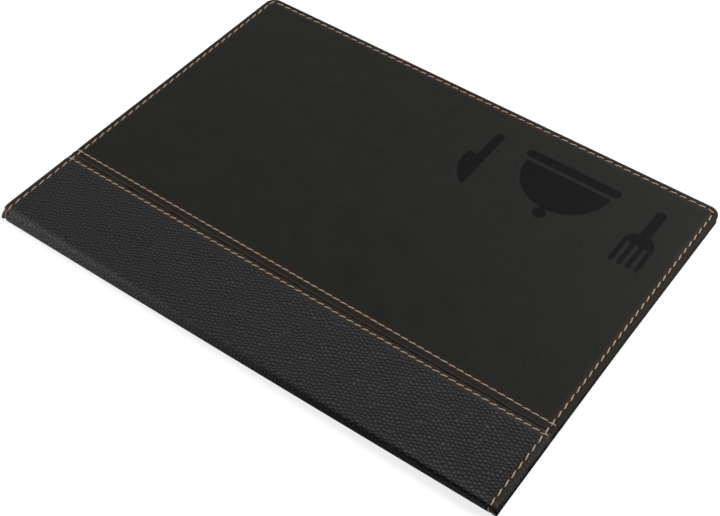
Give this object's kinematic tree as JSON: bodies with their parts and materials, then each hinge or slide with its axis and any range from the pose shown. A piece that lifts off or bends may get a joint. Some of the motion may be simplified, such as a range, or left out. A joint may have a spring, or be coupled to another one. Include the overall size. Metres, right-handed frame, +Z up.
{
  "type": "menu cover",
  "caption": "Slim book-style menu cover for A5 pages: leatherette covers on a soft spine, stitched round the edge, with a clear sleeve held by an elastic cord.",
  "frame": {"origin": "middle of the underside of the closed cover, on the surface that it lies on", "axes": "+X from the spine to the fore-edge, +Y from the tail to the head, +Z up through the front cover"},
  "size_m": [0.1724, 0.24, 0.0042],
  "materials": {
    "smooth_leatherette": "matt, smooth, faintly mottled",
    "grained_leatherette": "satin, fine pebble grain",
    "greyboard": "raw",
    "infill_paper": "raw",
    "woven_lining": "plain weave",
    "thread": "twisted",
    "clear_film": "clear, glossy",
    "welded_film": "clear, pressed",
    "binding_tape": "coated tape",
    "spine_card": "raw",
    "elastic": "braided",
    "barb_steel": "satin"
  },
  "bodies": {
    "back_cover": {"back_board": "greyboard", "back_infill": "infill_paper", "back_skin_panel": "smooth_leatherette", "back_skin_band": "grained_leatherette", "back_lining": "woven_lining", "back_edge_stitches": "thread", "back_seam_stitches_band_side": "thread", "back_seam_stitches_panel_side": "thread", "back_sleeve_outer_film": "clear_film", "back_sleeve_inner_film": "clear_film", "back_sleeve_weld": "welded_film", "back_binding_tape": "binding_tape"},
    "spine": {"spine_skin": "grained_leatherette", "spine_stiffener": "spine_card", "spine_lining": "woven_lining", "spine_end_stitches": "thread", "elastic_cord": "elastic", "cord_barbs": "barb_steel", "binding_fold": "binding_tape"},
    "front_cover": {"front_board": "greyboard", "front_infill": "infill_paper", "front_skin_panel": "smooth_leatherette", "front_skin_band": "grained_leatherette", "front_lining": "woven_lining", "front_edge_stitches": "thread", "front_seam_stitches_band_side": "thread", "front_seam_stitches_panel_side": "thread"},
    "front_leaf": {"front_sleeve_outer_film": "clear_film", "front_sleeve_inner_film": "clear_film", "front_sleeve_weld": "welded_film", "front_binding_tape": "binding_tape"}
  },
  "joints": [
    {"name": "spine_fold", "type": "hinge", "parent": "back_cover", "child": "spine", "pos_m": [-0.0856, 0, 0.00065], "axis": [0, -1, 0], "range_deg": [0, 90]},
    {"name": "cover_fold", "type": "hinge", "parent": "spine", "child": "front_cover", "pos_m": [-0.0856, 0, 0.00355], "axis": [0, -1, 0], "range_deg": [0, 90]},
    {"name": "leaf_turn", "type": "hinge", "parent": "spine", "child": "front_leaf", "pos_m": [-0.08415, 0, 0.0021], "axis": [0, -1, 0], "range_deg": [0, 90]}
  ],
  "couplings": [
    {"joint": "leaf_turn", "follows": "cover_fold", "ratio": 1}
  ]
}
